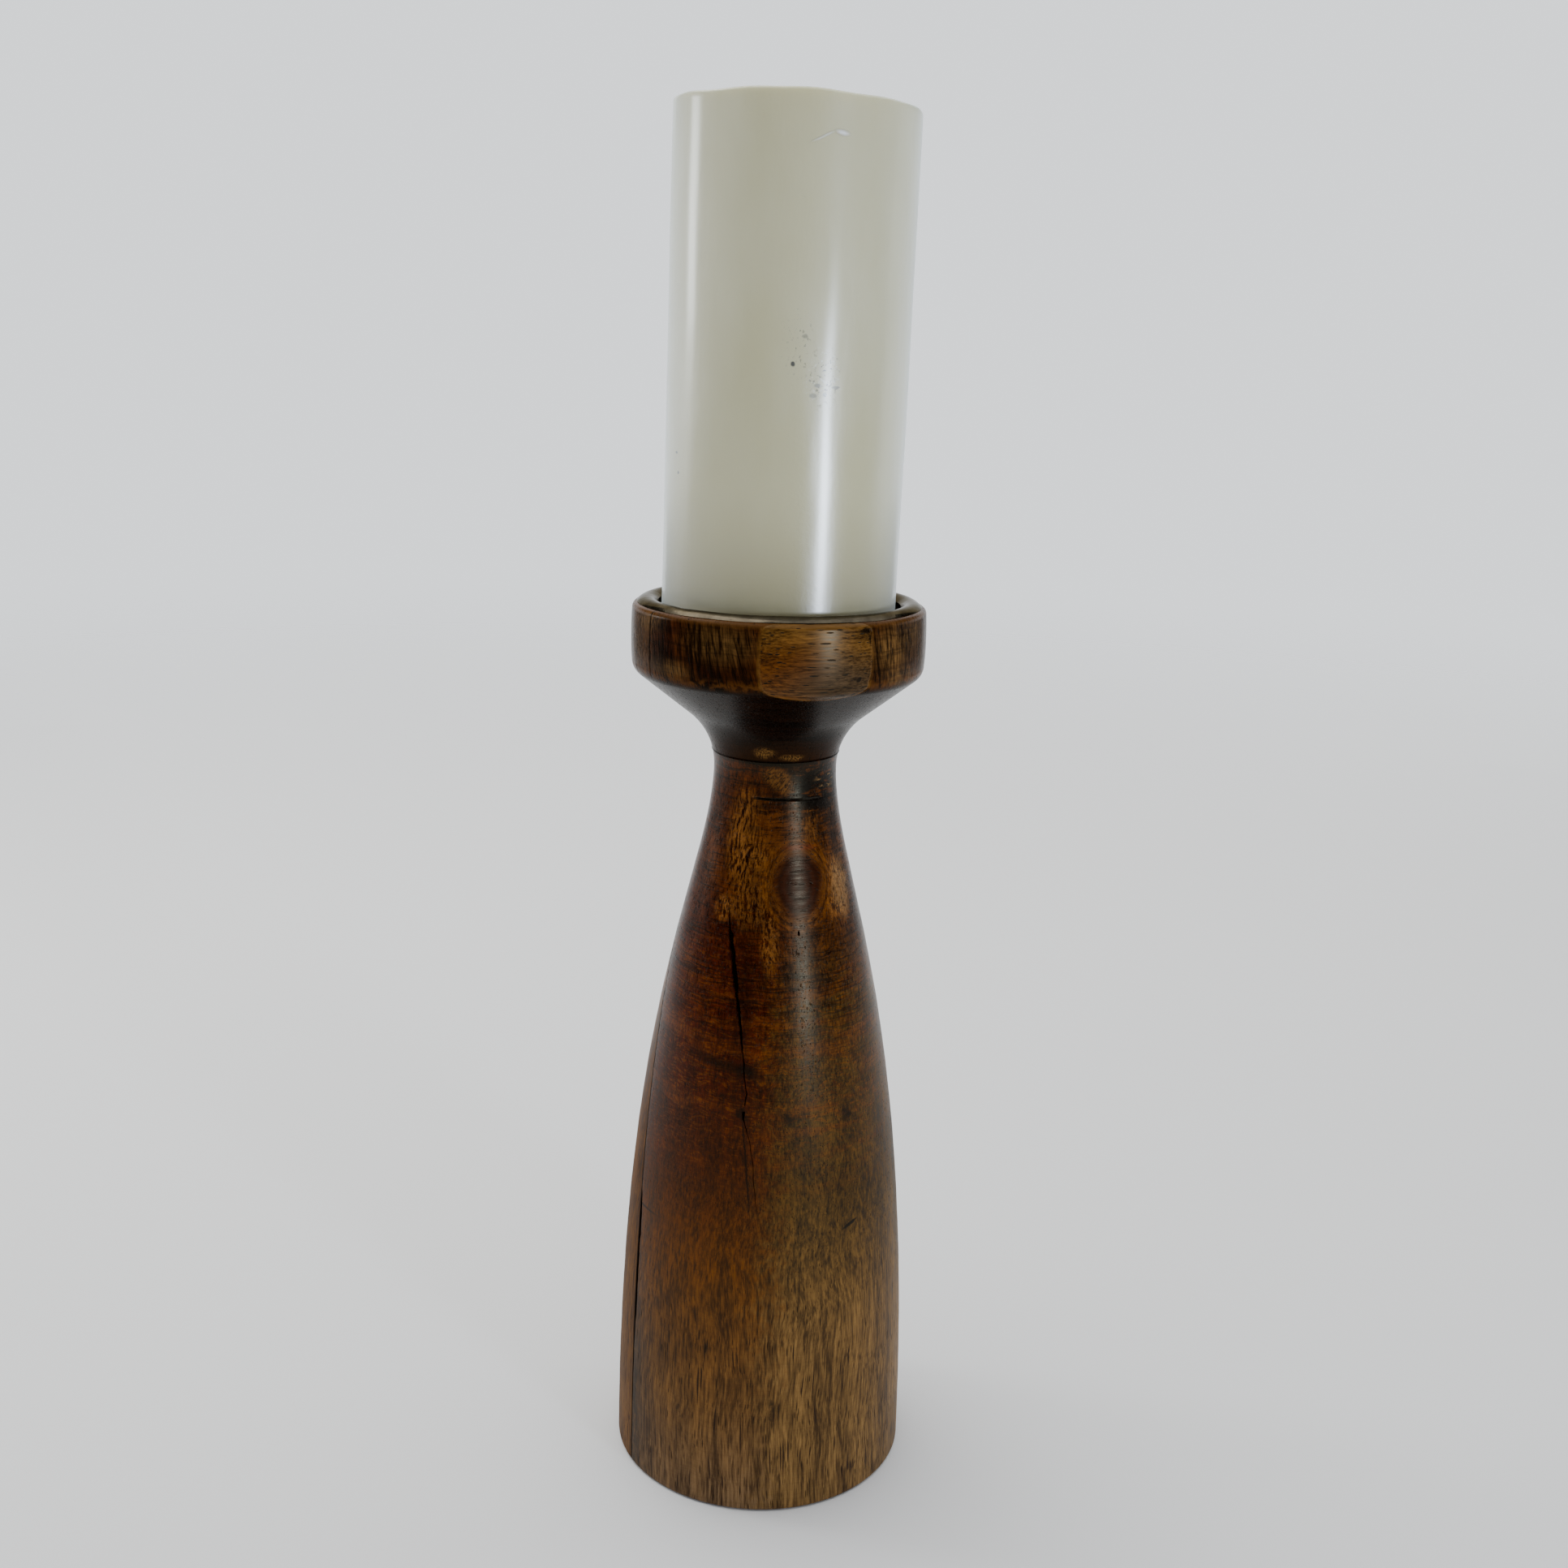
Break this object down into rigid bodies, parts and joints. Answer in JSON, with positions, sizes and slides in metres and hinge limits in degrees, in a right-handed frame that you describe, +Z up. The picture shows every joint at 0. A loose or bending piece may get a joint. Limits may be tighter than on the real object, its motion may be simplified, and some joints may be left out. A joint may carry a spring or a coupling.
{
  "type": "wooden candlestick",
  "caption": "Turned wooden candlestick with a tapered column, slim neck, flared cup, metal candle dish and a used pillar candle that lifts out.",
  "frame": {"origin": "centre of the foot, on the surface it stands on", "axes": "+Z up along the turning axis; the front slab and the drying crack face -Y"},
  "size_m": [0.1016, 0.1016, 0.4556],
  "materials": {
    "column_wood": "semi-gloss stain, vertical grain with a knot",
    "side_board_wood": "semi-gloss stain",
    "dowel_wood": "bare hardwood",
    "cup_wood": "semi-gloss dark stain, vertical grain",
    "slab_wood": "semi-gloss stain, horizontal grain",
    "dish_metal": "glossy bronze-brown lacquer",
    "screw_steel": "zinc-plated",
    "felt": "pressed felt",
    "wax": "translucent ivory wax",
    "burnt_wick": "charred cotton braid",
    "tab_steel": "tinned"
  },
  "bodies": {
    "holder": {"column_main_board": "column_wood", "column_side_board": "side_board_wood", "neck_dowel": "dowel_wood", "cup_middle_board": "cup_wood", "cup_front_board": "cup_wood", "cup_front_slab": "slab_wood", "cup_rear_board": "cup_wood", "cup_rear_slab": "slab_wood", "candle_dish": "dish_metal", "dish_screw": "screw_steel", "base_felt": "felt"},
    "candle": {"pillar_candle": "wax", "wick": "burnt_wick", "wick_tab": "tab_steel"}
  },
  "joints": [
    {"name": "candle_lift", "type": "slide", "parent": "holder", "child": "candle", "axis": [0, 0, 1], "range_m": [0, 0.06]}
  ]
}
